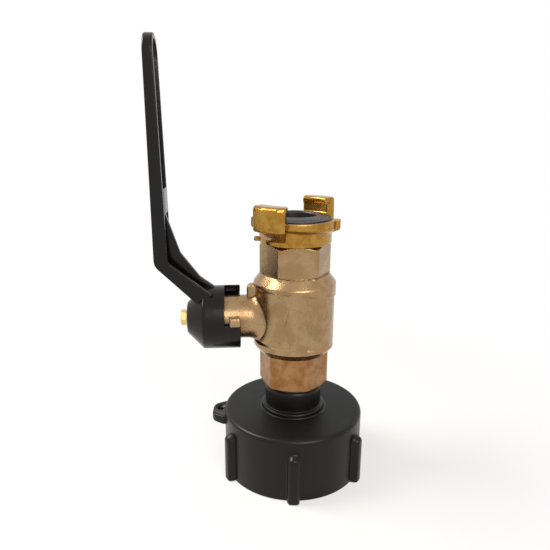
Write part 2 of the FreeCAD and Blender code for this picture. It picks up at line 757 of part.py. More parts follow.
def make_coupling():
    """Brass claw coupling screwed into the valve's outlet."""
    foot = z_outlet - pipe_thread_length + thread_end_gap
    solid = turned([
        (0, foot), (pipe_thread_radius, foot, thread_end_round), (pipe_thread_radius, z_outlet),
        (ring_radius, z_outlet, ring_foot_round), (ring_radius, z_face), (0, z_face)])
    for angle in (claw_angle, claw_angle + 180):
        solid = solid.fuse(make_flange(angle)).fuse(make_claw(angle))
    nub_foot = ring_radius - flange_root
    nub = Part.makeCylinder(nub_size / 2, nub_reach - nub_foot, V(nub_foot, 0, 0), V(1, 0, 0))
    nub.translate(V(0, 0, z_outlet + nub_size / 2 + nub_lift))
    nub.rotate(V(0, 0, 0), V(0, 0, 1), nub_angle)
    solid = solid.fuse(nub)
    groove = z_face - seal_groove_depth
    bore = turned([
        (0, foot), (flow_radius, foot), (flow_radius, groove), (seal_groove_radius, groove),
        (seal_groove_radius, z_face - seal_mouth_depth), (seal_mouth_radius, z_face - seal_mouth_depth),
        (seal_mouth_radius, z_face), (0, z_face)])
    return solid.cut(bore).removeSplitter()


def make_coupling_seal():
    """Rubber lip seal held in the coupling's groove."""
    groove = z_face - seal_groove_depth
    top = z_face + seal_rise
    shelf = z_face - seal_mouth_depth
    throat = flow_radius + seal_inner_gap
    return turned([
        (throat, groove), (seal_groove_radius, groove), (seal_groove_radius, shelf),
        (seal_mouth_radius, shelf), (seal_mouth_radius, z_face), (seal_lip_radius, z_face),
        (seal_lip_radius - seal_lip_edge / 2, z_face + seal_lip_edge, seal_edge_round),
        (seal_opening_radius, top, seal_crown_round),
        (seal_opening_radius - seal_opening_taper, top - seal_opening_depth, seal_edge_round),
        (throat, z_face - seal_throat_depth)])


# ---------------------------------------------------------------- every piece in its own file
parts = {
    "tank_cap": make_cap(),
    "tank_gasket": make_gasket(),
    "spigot_seal": make_spigot_seal(),
    "end_connector": make_end_connector(),
    "body_joint_seal": make_joint_seal(),
    "valve_body": make_body(),
    "lower_seat": make_seat(-1),
    "upper_seat": make_seat(1),
    "ball": make_ball(),
    "stem": make_stem(),
    "stem_thrust_washer": make_thrust_washer(),
    "stem_o_ring": make_stem_ring(),
    "packing_ring": make_packing(),
    "gland_nut": make_gland(),
    "lever": make_lever(),
    "lever_washer": make_washer(),
    "lever_nut": make_nut(),
    "claw_coupling": make_coupling(),
    "coupling_seal": make_coupling_seal(),
}

os.makedirs("parts", exist_ok=True)
for name, shape in parts.items():
    shape.exportStep("parts/" + name + ".step")
    box = shape.BoundBox
    print(f"{name}: {len(shape.Solids)} solid(s), valid {shape.isValid()}, volume {shape.Volume:.1f}, "
          f"z {box.ZMin:.1f} to {box.ZMax:.1f}")
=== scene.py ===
# %% [markdown]
# # Dressing a tank valve
# The part is a small lever ball valve that stands on a black screw cap.  The CAD model gives every
# place and size.  Blender gives the cast, turned and moulded surfaces their softness and finish.
# The first step opens the CAD model as a fixed frame, whose parts' boxes give the levels that follow.

# %% Open the frame
import math
import bmesh
import bpy
import numpy as np
from mathutils import Matrix, Vector


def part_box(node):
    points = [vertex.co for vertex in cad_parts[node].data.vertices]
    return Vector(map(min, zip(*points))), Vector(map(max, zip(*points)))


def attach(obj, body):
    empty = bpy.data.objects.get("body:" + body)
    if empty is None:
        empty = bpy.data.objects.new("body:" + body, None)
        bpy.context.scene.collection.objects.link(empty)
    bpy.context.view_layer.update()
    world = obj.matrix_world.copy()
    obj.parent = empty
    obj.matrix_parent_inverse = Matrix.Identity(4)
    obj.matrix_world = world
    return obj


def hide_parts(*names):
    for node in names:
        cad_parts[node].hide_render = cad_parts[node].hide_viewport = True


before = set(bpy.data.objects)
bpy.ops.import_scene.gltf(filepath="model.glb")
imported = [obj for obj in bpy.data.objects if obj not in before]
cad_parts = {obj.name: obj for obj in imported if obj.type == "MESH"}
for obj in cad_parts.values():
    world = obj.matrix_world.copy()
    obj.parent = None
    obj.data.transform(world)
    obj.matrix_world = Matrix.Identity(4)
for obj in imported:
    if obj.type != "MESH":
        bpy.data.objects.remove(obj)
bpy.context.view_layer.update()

MM = 0.001

# %% [markdown]
# ## Heights and reaches that every piece shares
# The dressed pieces must land exactly on the CAD solids, so their levels are read from the nodes'
# boxes where a box shows them.  Everything below is in millimetres.  The pipe runs up +Z, and the
# stem runs out along -X.  Radii that more than one surface needs are named here too.

# %% Levels and radii along the pipe and the stem
def level(node, end, axis=2):
    """Lowest (end 0) or highest (end 1) coordinate of a CAD node along an axis, in mm."""
    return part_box(node)[end][axis] / MM


cap_top = 32.4
neck_top = level("spigot_seal", 0)
hex_foot = level("spigot_seal", 1)
joint = level("valve_body", 0)
outlet = level("valve_body", 1)
stem_level = (level("ball", 0) + level("ball", 1)) / 2
shoulder = joint + 39.55
flange = outlet + 7.8
face = flange + 3.7
skirt_edge = -level("lever", 1, 0)
hub_face = -level("lever_washer", 1, 0)
lever_face = -level("lever", 0, 0)
lever_top = level("lever", 1) - stem_level
barrel = 20.3
boss = 10.7
across_flats = 31.0
hex_corner = 17.35
waterway = 9.6
thread_crest = 13.2
thread_bore = 13.25
cap_radius = 35.5
neck_radius = 14.35
neck_ring = 16.1
ring_radius = 17.5
claw_back = 26.6
stem_bore = 5.05
arm_up, arm_down = 101.5, 29.5
print("levels:", {"joint": round(joint, 2), "stem": round(stem_level, 2), "outlet": round(outlet, 2),
                  "hub face": round(hub_face, 2), "lever top": round(lever_top, 2)})

# %% [markdown]
# ## The camera
# The camera looks down on the valve a little, from just left of straight ahead.  It is placed by
# a position and three angles: heading, dip and roll.  The three columns of its matrix are the
# picture's right, the picture's up, and backwards.

# %% Camera
def aim(heading, dip, roll):
    """Rotation of a camera that looks along +Y turned by heading, dipped and rolled, in degrees."""
    h, d, r = (math.radians(v) for v in (heading, dip, roll))
    ahead = Vector((math.sin(h) * math.cos(d), math.cos(h) * math.cos(d), -math.sin(d)))
    right = ahead.cross(Vector((0, 0, 1))).normalized()
    up = right.cross(ahead)
    right, up = right * math.cos(r) + up * math.sin(r), up * math.cos(r) - right * math.sin(r)
    return Matrix((right, up, -ahead)).transposed()


lens = bpy.data.cameras.new("camera")
lens.sensor_width = 36.0
lens.lens = 35.35
lens.clip_start = 0.01
camera = bpy.data.objects.new("camera", lens)
bpy.context.scene.collection.objects.link(camera)
camera.matrix_world = Matrix.Translation((-0.02986, -0.25418, 0.17455)) @ aim(4.52, 15.67, 0.32).to_4x4()
bpy.context.scene.camera = camera
bpy.context.scene.view_settings.view_transform = "Standard"
print("camera at", [round(v, 4) for v in camera.location])

# %% [markdown]
# ## A small language for shaders
# A finish is easier to read as arithmetic than as a picture of wires.  One class wraps a socket, so
# that `1 - mask` or `grain * 0.2` adds a Math node.  Colours go through Mix nodes instead, because a
# Math node would turn them grey.

# %% Sockets that do arithmetic, and a finish that makes nodes
class Signal:
    """A number or colour that runs through a node tree."""

    def __init__(self, finish, socket):
        self.finish = finish
        self.socket = socket

    def _with(self, operation, *values):
        return self.finish.node("ShaderNodeMath", {"operation": operation}, dict(enumerate(values)))

    def __add__(self, other):
        return self._with("ADD", self, other)

    def __radd__(self, other):
        return self._with("ADD", other, self)

    def __sub__(self, other):
        return self._with("SUBTRACT", self, other)

    def __rsub__(self, other):
        return self._with("SUBTRACT", other, self)

    def __mul__(self, other):
        return self._with("MULTIPLY", self, other)

    def __rmul__(self, other):
        return self._with("MULTIPLY", other, self)

    def __pow__(self, other):
        return self._with("POWER", self, other)

    def step(self, start, end):
        """Smooth step: 0 before start, 1 after end; start above end turns it round."""
        low, high, first, last = (start, end, 0.0, 1.0) if start < end else (end, start, 1.0, 0.0)
        return self.finish.node(
            "ShaderNodeMapRange", {"interpolation_type": "SMOOTHSTEP"},
            {"Value": self, "From Min": low, "From Max": high, "To Min": first, "To Max": last})


class Finish:
    """A material, or the world, with one method that adds nodes."""

    def __init__(self, owner):
        owner.use_nodes = True
        self.owner = owner
        self.tree = owner.node_tree
        self.tree.nodes.clear()

    def node(self, kind, settings=None, sockets=None, out=0):
        """Add a node: settings first, then each socket's value or link; returns one output."""
        made = self.tree.nodes.new(kind)
        for key, value in (settings or {}).items():
            setattr(made, key, value)
        for key, value in (sockets or {}).items():
            socket = made.inputs[key]
            if isinstance(value, Signal):
                self.tree.links.new(value.socket, socket)
            else:
                socket.default_value = value
        return Signal(self, made.outputs[out])

    def place(self):
        """Object coordinates in millimetres, so that every pattern has its real size."""
        spot = self.node("ShaderNodeTexCoord", out="Object")
        return self.node("ShaderNodeVectorMath", {"operation": "SCALE"}, {0: spot, "Scale": 1 / MM})

    def axes(self, spot):
        """The three coordinates of a place as numbers."""
        parts = self.node("ShaderNodeSeparateXYZ", sockets={0: spot})
        node = parts.socket.node
        return [Signal(self, node.outputs[i]) for i in range(3)]

    def noise(self, spot, grain, detail=3.0, roughness=0.5, out=0):
        """Noise whose lumps are about `grain` mm across."""
        return self.node("ShaderNodeTexNoise", sockets={
            "Vector": spot, "Scale": 1.0 / grain, "Detail": detail, "Roughness": roughness}, out=out)

    def blend(self, share, first, second):
        """Mix of two colours."""
        return self.node("ShaderNodeMix", {"data_type": "RGBA"}, {"Factor": share, 6: first, 7: second},
                         out=2)

    def bump(self, height, depth, under=None):
        """Normal bent by a height whose full range is `depth` mm."""
        sockets = {"Height": height, "Distance": depth * MM, "Strength": 1.0}
        if under is not None:
            sockets["Normal"] = under
        return self.node("ShaderNodeBump", None, sockets)

    def surface(self, **sockets):
        """Principled surface into the output."""
        names = {key.replace("_", " "): value for key, value in sockets.items()}
        shader = self.node("ShaderNodeBsdfPrincipled", sockets=names)
        self.node_output(shader)
        return self.owner

    def node_output(self, shader, kind="ShaderNodeOutputMaterial"):
        """Send a shader to the tree's output."""
        output = self.tree.nodes.new(kind)
        self.tree.links.new(shader.socket, output.inputs["Surface"])


def finish(name):
    """Start a new material's finish."""
    return Finish(bpy.data.materials.new(name))


def rgb(red, green, blue):
    """Linear colour with full alpha."""
    return (red, green, blue, 1.0)


print("shader words ready")

# %% [markdown]
# ## Floor, room and lamps
# The valve stands on a plain pale floor.  Towards its edge the floor fades into the white world, so
# no horizon shows.  Metal and glass mirror that same white room.  Dull surfaces see an even neutral
# light of half strength, so their colours stay as written.

# %% Floor
def floor_finish():
    """Pale paper that keeps the shadow near the valve and turns pure white further out.
    Metal and glass mirror the same floor."""
    paper = finish("pale_floor")
    x, y, z = paper.axes(paper.place())
    away = (x * x + y * y) ** 0.5
    path = paper.node("ShaderNodeLightPath")
    sees = path.socket.node.outputs
    seen = Signal(paper, sees["Is Camera Ray"]) + Signal(paper, sees["Is Glossy Ray"])
    seen = seen + Signal(paper, sees["Is Transmission Ray"])
    share = seen * (0.62 + 0.38 * away.step(70.0, 260.0))
    matt = paper.node("ShaderNodeBsdfDiffuse", sockets={"Color": rgb(0.80, 0.79, 0.77)})
    white = paper.node("ShaderNodeEmission", sockets={"Color": rgb(1, 1, 1), "Strength": 1.0})
    paper.node_output(paper.node("ShaderNodeMixShader", sockets={0: share, 1: matt, 2: white}))
    return paper.owner


bpy.ops.mesh.primitive_circle_add(vertices=96, radius=0.32, fill_type="NGON", location=(0, 0, -0.0001))
floor = bpy.context.object
floor.name = "floor"
floor.data.materials.append(floor_finish())
print("floor of radius 320 mm")

# %% Room and lamps
def room(world):
    """White for the camera, for metal and for glass, and a plain neutral light for dull surfaces."""
    sky = Finish(world)
    path = sky.node("ShaderNodeLightPath")
    sees = path.socket.node.outputs
    seen = Signal(sky, sees["Is Camera Ray"]) + Signal(sky, sees["Is Glossy Ray"])
    seen = seen + Signal(sky, sees["Is Transmission Ray"])
    colour = sky.blend(seen, rgb(0.5, 0.49, 0.47), rgb(1, 1, 1))
    light = sky.node("ShaderNodeBackground", sockets={"Color": colour, "Strength": 1.0})
    sky.node_output(light, "ShaderNodeOutputWorld")


def lamp(name, place, width, height, watts, colour, target=(0, 0, 0.1)):
    """Rectangular soft lamp that faces a target."""
    light = bpy.data.lights.new(name, "AREA")
    light.shape = "RECTANGLE"
    light.size = width
    light.size_y = height
    light.energy = watts
    light.color = colour
    obj = bpy.data.objects.new(name, light)
    obj.location = place
    obj.rotation_euler = (Vector(target) - Vector(place)).to_track_quat("-Z", "Y").to_euler()
    bpy.context.scene.collection.objects.link(obj)
    return obj


world = bpy.data.worlds.new("room")
bpy.context.scene.world = world
room(world)
lamp("window_lamp", (-0.62, 0.10, 0.72), 0.42, 0.42, 9.0, (1.0, 0.95, 0.87))
lamp("fill_lamp", (0.25, -0.80, 0.55), 0.5, 0.5, 5.0, (1.0, 0.97, 0.93))
print("room and 2 lamps")

# %% [markdown]
# ## Surfaces worked out with numpy
# Almost everything on a valve is turned, swept or sawn from a plate.  So three words are enough: a
# profile with rounded corners, a grid that carries it round an axis, and a slab that gives an
# outline its thickness.  A shape is a whole array of points, and the mesh is filled in one go.

# %% Profiles, grids and meshes
def traced(corners, closed=True, step=1.0):
    """Rounded outline.  Each corner is (a, b, radius, step): a tangent arc replaces the corner, and the
    run after it is cut into equal parts no longer than the step."""
    marks = np.array([c[:2] for c in corners], float)
    radii = np.array([c[2] if len(c) > 2 else 0.0 for c in corners])
    steps = np.array([c[3] if len(c) > 3 else step for c in corners])
    if not closed:
        radii[[0, -1]] = 0.0
    points, lengths = [], []
    for i, radius in enumerate(radii):
        here = marks[i]
        if radius <= 0:
            points.append(here[None])
            lengths.append([steps[i]])
            continue
        a = marks[i - 1] - here
        b = marks[(i + 1) % len(marks)] - here
        a, b = a / np.hypot(*a), b / np.hypot(*b)
        half = math.acos(float(np.clip(a @ b, -1, 1))) / 2
        start, end = here + a * radius / math.tan(half), here + b * radius / math.tan(half)
        middle = here + (a + b) / np.hypot(*(a + b)) * radius / math.sin(half)
        turn = math.pi - 2 * half
        count = max(4, int(np.ceil(turn / 0.3)) + 1)
        t = np.linspace(0, 1, count)[:, None]
        arc = middle + (np.sin((1 - t) * turn) * (start - middle) + np.sin(t * turn) * (end - middle)
                        ) / math.sin(turn)
        points.append(arc)
        lengths.append([1e9] * (count - 1) + [steps[i]])
    points = np.concatenate(points)
    reach = np.concatenate(lengths)
    follow = np.roll(points, -1, axis=0)
    if not closed:
        points, follow, reach = points[:-1], follow[:-1], reach[:-1]
    span = np.hypot(*(follow - points).T)
    parts = np.maximum(1, np.ceil(span / reach - 1e-9)).astype(int)
    which = np.repeat(np.arange(len(parts)), parts)
    share = (np.arange(parts.sum()) - np.repeat(np.cumsum(parts) - parts, parts)) / parts[which]
    line = points[which] + share[:, None] * (follow - points)[which]
    if not closed:
        line = np.concatenate([line, follow[-1:]])
    return line


def ease(value, start, end):
    """Smooth step from 0 at start to 1 at end."""
    t = np.clip((value - start) / (end - start), 0, 1)
    return t * t * (3 - 2 * t)


def revolve(profile, columns, shape=None):
    """Point(angle, s) = (r cos angle, r sin angle, z) with (r, z) from the profile.  `shape` may bend r
    and z as a function of the angle."""
    angle = np.linspace(0, 2 * np.pi, columns, endpoint=False)[:, None]
    r, z = profile[None, :, 0] + 0 * angle, profile[None, :, 1] + 0 * angle
    if shape:
        r, z = shape(angle, r, z)
    return np.stack([r * np.cos(angle), r * np.sin(angle), z], axis=-1)


def lay_on_stem(points):
    """Turn a shape built up +Z so that it runs along the stem, outwards along -X."""
    x, y, z = points[..., 0], points[..., 1], points[..., 2]
    return np.stack([-z, y, x + stem_level], axis=-1)


def grid_faces(columns, rows, round_columns, round_rows, first=0):
    """Quads of a grid of columns x rows points, wrapped round where asked."""
    i = np.arange(columns if round_columns else columns - 1)[:, None]
    j = np.arange(rows if round_rows else rows - 1)[None, :]
    follow_i, follow_j = (i + 1) % columns, (j + 1) % rows
    quads = np.stack(np.broadcast_arrays(i * rows + j, follow_i * rows + j, follow_i * rows + follow_j,
                                         i * rows + follow_j), axis=-1)
    return quads.reshape(-1, 4) + first


def skin(name, shells, body, material, replaces):
    """Join closed shells into one mesh object on a body.  A shell is (points, round columns, round rows,
    caps); caps names the edges of the grid, "rows" or "columns", that a flat face closes."""
    verts, faces, first = [], [], 0
    for points, round_columns, round_rows, caps in shells:
        columns, rows = points.shape[:2]
        number = np.arange(columns * rows).reshape(columns, rows) + first
        verts.append(points.reshape(-1, 3) * MM)
        faces += grid_faces(columns, rows, round_columns, round_rows, first).tolist()
        if caps == "rows":
            faces += [number[:, 0].tolist(), number[::-1, -1].tolist()]
        if caps == "columns":
            faces += [number[0].tolist(), number[-1, ::-1].tolist()]
        if caps == "fold":
            faces += [number[0].tolist() + number[-1, ::-1].tolist()]
        first += columns * rows
    mesh = bpy.data.meshes.new(name)
    mesh.from_pydata(np.concatenate(verts).tolist(), [], faces)
    work = bmesh.new()
    work.from_mesh(mesh)
    bmesh.ops.remove_doubles(work, verts=work.verts, dist=2e-7)
    bmesh.ops.dissolve_degenerate(work, edges=work.edges, dist=1e-7)
    bmesh.ops.recalc_face_normals(work, faces=work.faces)
    open_edges = sum(1 for edge in work.edges if not edge.is_manifold)
    work.to_mesh(mesh)
    work.free()
    mesh.shade_smooth()
    mesh.materials.append(material)
    piece = bpy.data.objects.new(name, mesh)
    bpy.context.scene.collection.objects.link(piece)
    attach(piece, body)
    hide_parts(*replaces)
    count = sum(len(p.vertices) - 2 for p in mesh.polygons)
    print(f"{name}: {count} triangles, {open_edges} open edges")
    return piece


def slab(outline, half, edge, rows=4):
    """Plate over a closed outline in the (a, b) plane, from -half to half across it.  Its rim is a quarter
    round: the outline moved inwards by edge (1 - cos t) while it rises by edge sin t."""
    ahead = np.roll(outline, -1, axis=0) - np.roll(outline, 1, axis=0)
    ahead /= np.hypot(*ahead.T)[:, None]
    inward = np.stack([-ahead[:, 1], ahead[:, 0]], axis=1)
    area = np.sum(outline[:, 0] * np.roll(outline[:, 1], -1) - np.roll(outline[:, 0], -1) * outline[:, 1])
    inward *= np.sign(area)
    t = np.linspace(0, np.pi / 2, rows)
    inset = edge * np.concatenate([1 - np.sin(t), 1 - np.sin(t[::-1])])
    across = np.concatenate([-half + edge * (1 - np.cos(t)), half - edge * (1 - np.cos(t[::-1]))])
    flat = outline[:, None, :] + inward[:, None, :] * inset[None, :, None]
    return flat, np.broadcast_to(across[None, :], flat.shape[:2])


def side_slab(outline, half, edge):
    """Slab across Y over an outline of (reach along the stem, height above it)."""
    flat, across = slab(outline, half, edge)
    return np.stack([-flat[..., 0], across, flat[..., 1] + stem_level], axis=-1)


def soft_min(a, b, soft):
    """Lower of two values with a rounded meeting: the mean less half of sqrt(difference^2 + soft^2)."""
    return (a + b - np.sqrt((a - b) ** 2 + soft ** 2)) / 2


def hexagon(angle, flats, first):
    """Polar radius of a hexagon: half its width over the cosine of the angle from the nearest face."""
    turn = np.degrees(angle) - first - 30
    return flats / 2 / np.cos(np.radians((turn + 30) % 60 - 30))


print("mesh words ready")

# %% [markdown]
# ## Finishes
# Each finish is read from what happened to the real surface.  Sand leaves grains on a casting, a
# tumbler leaves a soft gleam on brass, and a mould leaves a fine matt grain on plastic.

# %% Cast and plated metals
def cast_metal(name, pale, deep, stain, shine, grain, depth, blotch=7.0):
    """Cast metal: three tones in slow blotches, a sandy skin, and pits that are darker and duller."""
    metal = finish(name)
    spot = metal.place()
    slow = metal.noise(spot, blotch, 3.0, 0.55).step(0.38, 0.64)
    fine = metal.noise(spot, grain, 4.0, 0.62)
    sand = metal.noise(spot, grain * 0.42, 2.0, 0.5)
    pits = metal.noise(spot, grain * 1.7, 2.0, 0.5).step(0.40, 0.30)
    colour = metal.blend(slow, rgb(*pale), rgb(*deep))
    colour = metal.blend(metal.noise(spot, blotch * 1.8, 2.0).step(0.55, 0.75) * 0.6, colour, rgb(*stain))
    colour = metal.blend(pits * 0.35, colour, rgb(*(v * 0.45 for v in deep)))
    colour = metal.blend(sand.step(0.58, 0.78) * 0.25, colour, rgb(*(min(1.0, v * 1.35) for v in pale)))
    rough = shine + 0.10 * fine + 0.12 * pits + 0.05 * slow
    height = fine + 0.5 * sand - 0.6 * pits
    return metal.surface(Base_Color=colour, Metallic=1.0, Roughness=rough,
                         Normal=metal.bump(height, depth))


nickel = cast_metal("nickel_plate", (0.38, 0.25, 0.13), (0.31, 0.195, 0.095), (0.36, 0.18, 0.085),
                    0.20, 0.55, 0.045)
raw_brass = cast_metal("raw_brass", (0.38, 0.20, 0.085), (0.27, 0.125, 0.042), (0.24, 0.10, 0.032),
                       0.30, 0.45, 0.05)
tumbled_brass = cast_metal("tumbled_brass", (0.42, 0.235, 0.050), (0.33, 0.165, 0.028), (0.31, 0.12, 0.020),
                           0.15, 0.9, 0.035, 4.0)
print("three metals")

# %% Black plastic, paint, rubber and the small pieces' finishes
def moulded_plastic():
    """Black moulding: glossy neck and rim, finer matt grain on the lid, a painted sheen that makes the lid's
    top a little lighter and greyer than the rest, fine lint and thin scratches.
    """
    black = finish("black_moulding")
    spot = black.place()
    x, y, z = black.axes(spot)
    away = (x * x + y * y) ** 0.5
    lid = z.step(cap_top - 1.2, cap_top - 0.3) * (1 - z.step(cap_top + 0.3, cap_top + 0.8))
    lid = lid * away.step(16.8, 18.0) * away.step(35.2, 33.4)
    grain = black.noise(spot, 0.28, 3.0, 0.6)
    cloud = black.noise(spot, 9.0, 3.0)
    lint = black.noise(spot, 0.55, 1.0).step(0.73, 0.80)
    stretched = black.node("ShaderNodeMapping", None, {
        "Vector": spot, "Rotation": (0.0, 0.0, 0.6), "Scale": (0.05, 1.4, 0.4)})
    scratch = black.noise(stretched, 1.0, 2.0).step(0.715, 0.735) * lid
    colour = black.blend(cloud, rgb(0.0016, 0.0012, 0.0008), rgb(0.0032, 0.0026, 0.0018))
    # Painted sheen: the lid's top is painted a lighter, greyer black that stands in for the sheen it
    # reflects.
    colour = black.blend(lid * 0.8, colour, rgb(0.0040, 0.0040, 0.0034))
    colour = black.blend(lint * 0.30, colour, rgb(0.04, 0.037, 0.030))
    rough = 0.27 + 0.10 * cloud + 0.17 * lid + 0.05 * grain - 0.12 * scratch
    height = grain * (0.35 + 0.65 * lid) + 0.8 * scratch
    return black.surface(Base_Color=colour, Roughness=rough, Specular_IOR_Level=0.25,
                         Normal=black.bump(height, 0.014))


def gloss_paint():
    """Thick black paint over a casting: orange peel and a few dull specks."""
    paint = finish("gloss_black_paint")
    spot = paint.place()
    peel = paint.noise(spot, 2.2, 2.0, 0.45)
    fine = paint.noise(spot, 0.5, 2.0)
    dust = fine.step(0.70, 0.78)
    colour = paint.blend(peel, rgb(0.0026, 0.0020, 0.0016), rgb(0.0044, 0.0036, 0.0030))
    colour = paint.blend(dust * 0.4, colour, rgb(0.04, 0.038, 0.034))
    rough = 0.16 + 0.12 * paint.noise(spot, 6.0) + 0.12 * dust
    return paint.surface(Base_Color=colour, Roughness=rough, Specular_IOR_Level=0.25,
                         Normal=paint.bump(peel + 0.12 * fine, 0.05))


def plain_finish(name, colour, metallic, shine, grain, depth, spread=0.25):
    """Even finish with a fine grain: the colour drifts by a share each way, and so does the gloss."""
    made = finish(name)
    spot = made.place()
    slow = made.noise(spot, grain * 9.0, 3.0)
    fine = made.noise(spot, grain, 3.0)
    dark, light = (rgb(*(min(1.0, v * (1 + s * spread)) for v in colour)) for s in (-1, 1))
    tone = made.blend(slow, dark, light)
    tone = made.blend(fine.step(0.62, 0.75) * 0.3, tone, dark)
    return made.surface(Base_Color=tone, Metallic=metallic, Roughness=shine + 0.12 * fine + 0.06 * slow,
                        Normal=made.bump(fine, depth))


black_moulding = moulded_plastic()
black_paint = gloss_paint()
rubber = plain_finish("seal_rubber", (0.012, 0.0105, 0.009), 0.0, 0.30, 0.35, 0.010)
yellow_zinc = plain_finish("yellow_zinc", (0.74, 0.55, 0.24), 1.0, 0.22, 0.25, 0.008)
white_seat = plain_finish("seat_plastic", (0.78, 0.77, 0.73), 0.0, 0.35, 0.4, 0.006, 0.05)
chrome = plain_finish("ball_chrome", (0.72, 0.72, 0.73), 1.0, 0.03, 0.8, 0.0012, 0.05)
turned_brass = plain_finish("turned_brass", (0.78, 0.55, 0.24), 1.0, 0.16, 0.22, 0.006)
print("seven more finishes")

# %% [markdown]
# ## The hidden and small CAD pieces
# Seats, rings, ball, stem and gland nut are exact turned shapes already, so they stay as CAD solids
# and only take a finish.

# %% Finishes for the CAD pieces that stay
def coat(material, *nodes):
    """Give CAD nodes one material."""
    for node in nodes:
        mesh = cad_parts[node].data
        mesh.materials.clear()
        mesh.materials.append(material)


coat(rubber, "tank_gasket", "spigot_seal", "body_joint_seal", "stem_o_ring")
coat(white_seat, "lower_seat", "upper_seat", "stem_thrust_washer", "packing_ring")
coat(chrome, "ball")
coat(turned_brass, "stem", "gland_nut")
coat(yellow_zinc, "lever_washer")
print("CAD pieces coated")

# %% [markdown]
# ## The screw cap
# One black moulding: a lid with a coarse thread inside, six grip ribs with rounded tops, a raised
# ring round the neck, and the threaded spigot hidden in the valve.  It could be built from a turned
# body with ribs joined on.  Here it is one grid, whose radius grows where a rib stands, so that each
# rib flows out of the wall as it does in a mould.

# %% Screw cap
def cap_shape(angle, r, z):
    """Ribs: reach sqrt(1 - (a / half width)^4), with a the distance from the rib's middle line or from
    its round top.  Thread: a rounded crest that climbs one pitch a turn, faded in at the mouth."""
    turn = (np.degrees(angle) - 265.0 + 30) % 60 - 30
    along = np.radians(turn) * cap_radius
    above = np.maximum(0, z - (cap_top - 10.5))
    off = np.hypot(along, above) / 3.05
    rib = 3.3 * np.sqrt(np.clip(1 - off ** 4, 0, 1)) * ease(r, 33.8, 35.1) * (z < cap_top - 4)
    crest = (z / 6.0 - angle / (2 * np.pi)) % 1.0
    crest = ease(crest, 0.08, 0.34) * (1 - ease(crest, 0.56, 0.86))
    thread = 1.9 * crest * ease(z, 0.8, 3.5) * (1 - ease(z, 20.0, 22.6)) * (r < 30.6)
    return r + rib - thread, z


def ear_shell():
    """Flat ear with a cord hole: straight lines from the hole's wall to the outline, the same angle at
    both ends, with the section's corners rounded."""
    middle = 38.0
    outline = traced([(33.0, -8.6), (35.9, -8.6, 1.5), (42.0, -5.2, 5.0), (42.0, 5.2, 5.0),
    (35.9, 8.6, 1.5),
                      (33.0, 8.6)], step=0.5)
    offset = outline - (middle, 0)
    bearing = np.arctan2(offset[:, 1], offset[:, 0])
    order = np.argsort(bearing)
    angle = np.linspace(-np.pi, np.pi, 160, endpoint=False)
    far = np.interp(angle, bearing[order], np.hypot(*offset[order].T), period=2 * np.pi)[:, None]
    top, thick, soft = cap_top - 3.1, 4.5, 0.9
    t = np.linspace(0, np.pi / 2, 6)
    share = np.concatenate([[0.0, 0.0], np.ones(12), [0.0]])
    inset = np.concatenate([[0.0, 0.0], soft * (1 - np.sin(t)), soft * (1 - np.sin(t[::-1])), [0.0]])
    height = np.concatenate([[top - 0.5, top], top - soft * (1 - np.cos(t)),
                             top - thick + soft * (1 - np.cos(t[::-1])), [top - thick]])
    r = 1.6 + (far - 1.6 - inset) * share
    turn = math.radians(175.0)
    x, y = middle + r * np.cos(angle)[:, None], r * np.sin(angle)[:, None]
    z = height[None, :] + 0 * r
    return np.stack([x * math.cos(turn) - y * math.sin(turn), x * math.sin(turn) + y * math.cos(turn), z], -1)


cap_profile = traced([
    (30.2, 0.0, 0.5), (cap_radius, 0.0, 0.6, 0.65), (cap_radius, cap_top, 1.9, 1.6),
    (neck_ring, cap_top, 0.8, 0.8),
    (neck_ring, cap_top + 2.6, 1.0), (neck_radius, cap_top + 2.6, 0.5, 2.5), (neck_radius, neck_top, 0.0),
    (thread_crest, neck_top, 0.0, 9.0), (thread_crest, 61.6, 0.5), (waterway, 61.6, 0.4, 9.0),
    (waterway, 26.4, 0.5, 4.0),
    (29.4, 26.4), (29.4, 23.4), (30.2, 23.4, 0.0, 0.55)])
tank_cap = skin("dressed_tank_cap", [
    (revolve(cap_profile, 480, cap_shape), True, True, None),
    (ear_shell(), True, True, None)], "valve", black_moulding, ["tank_cap"])

# %% [markdown]
# ## The valve body
# A plated brass casting.  The barrel has a band at the top and the bottom, and between them two
# sunk panels that leave a lozenge standing on the front and the back.  The upper hexagon, the
# shoulder and the barrel are one turned grid; the boss, its fin and the stop lug are shells that
# grow out of it.

# %% Valve body
def body_shape(angle, r, z):
    """Hexagon above the shoulder: the lower of hexagon and turned radius.  Panels: the radius falls by
    0.6 mm where a place lies between the bands and outside the lozenge."""
    six = hexagon(angle, across_flats, 0.0)
    upper = ease(z, shoulder - 0.4, shoulder + 0.6) * (r > 14.6)
    foot = np.maximum(r, np.minimum(six, hex_corner))
    r = np.where(upper > 0, np.where(z > shoulder + 0.65, soft_min(six, r, 0.12), foot), r)
    across = barrel * np.cos(angle)
    side = np.abs(np.sin(angle))
    away = np.maximum(0, np.cos(angle))
    low = joint + 6.4 - 3.2 * away
    high = joint + 34.0 - 4.7 * away
    middle = joint + 18.5
    half = np.where(z < middle, np.interp(z, [joint + 6.4, middle], [3.9, 6.5]),
                    np.interp(z, [middle, joint + 34.0], [6.5, 3.0]))
    outside = ease(np.abs(across) - half, -0.15, 0.15) * (side > 0.3) + (side <= 0.3)
    sunk = ease(z, low - 0.2, low + 0.5) * (1 - ease(z, high - 0.5, high + 0.2)) * outside
    return r - 0.6 * sunk * (r > 18.5), z


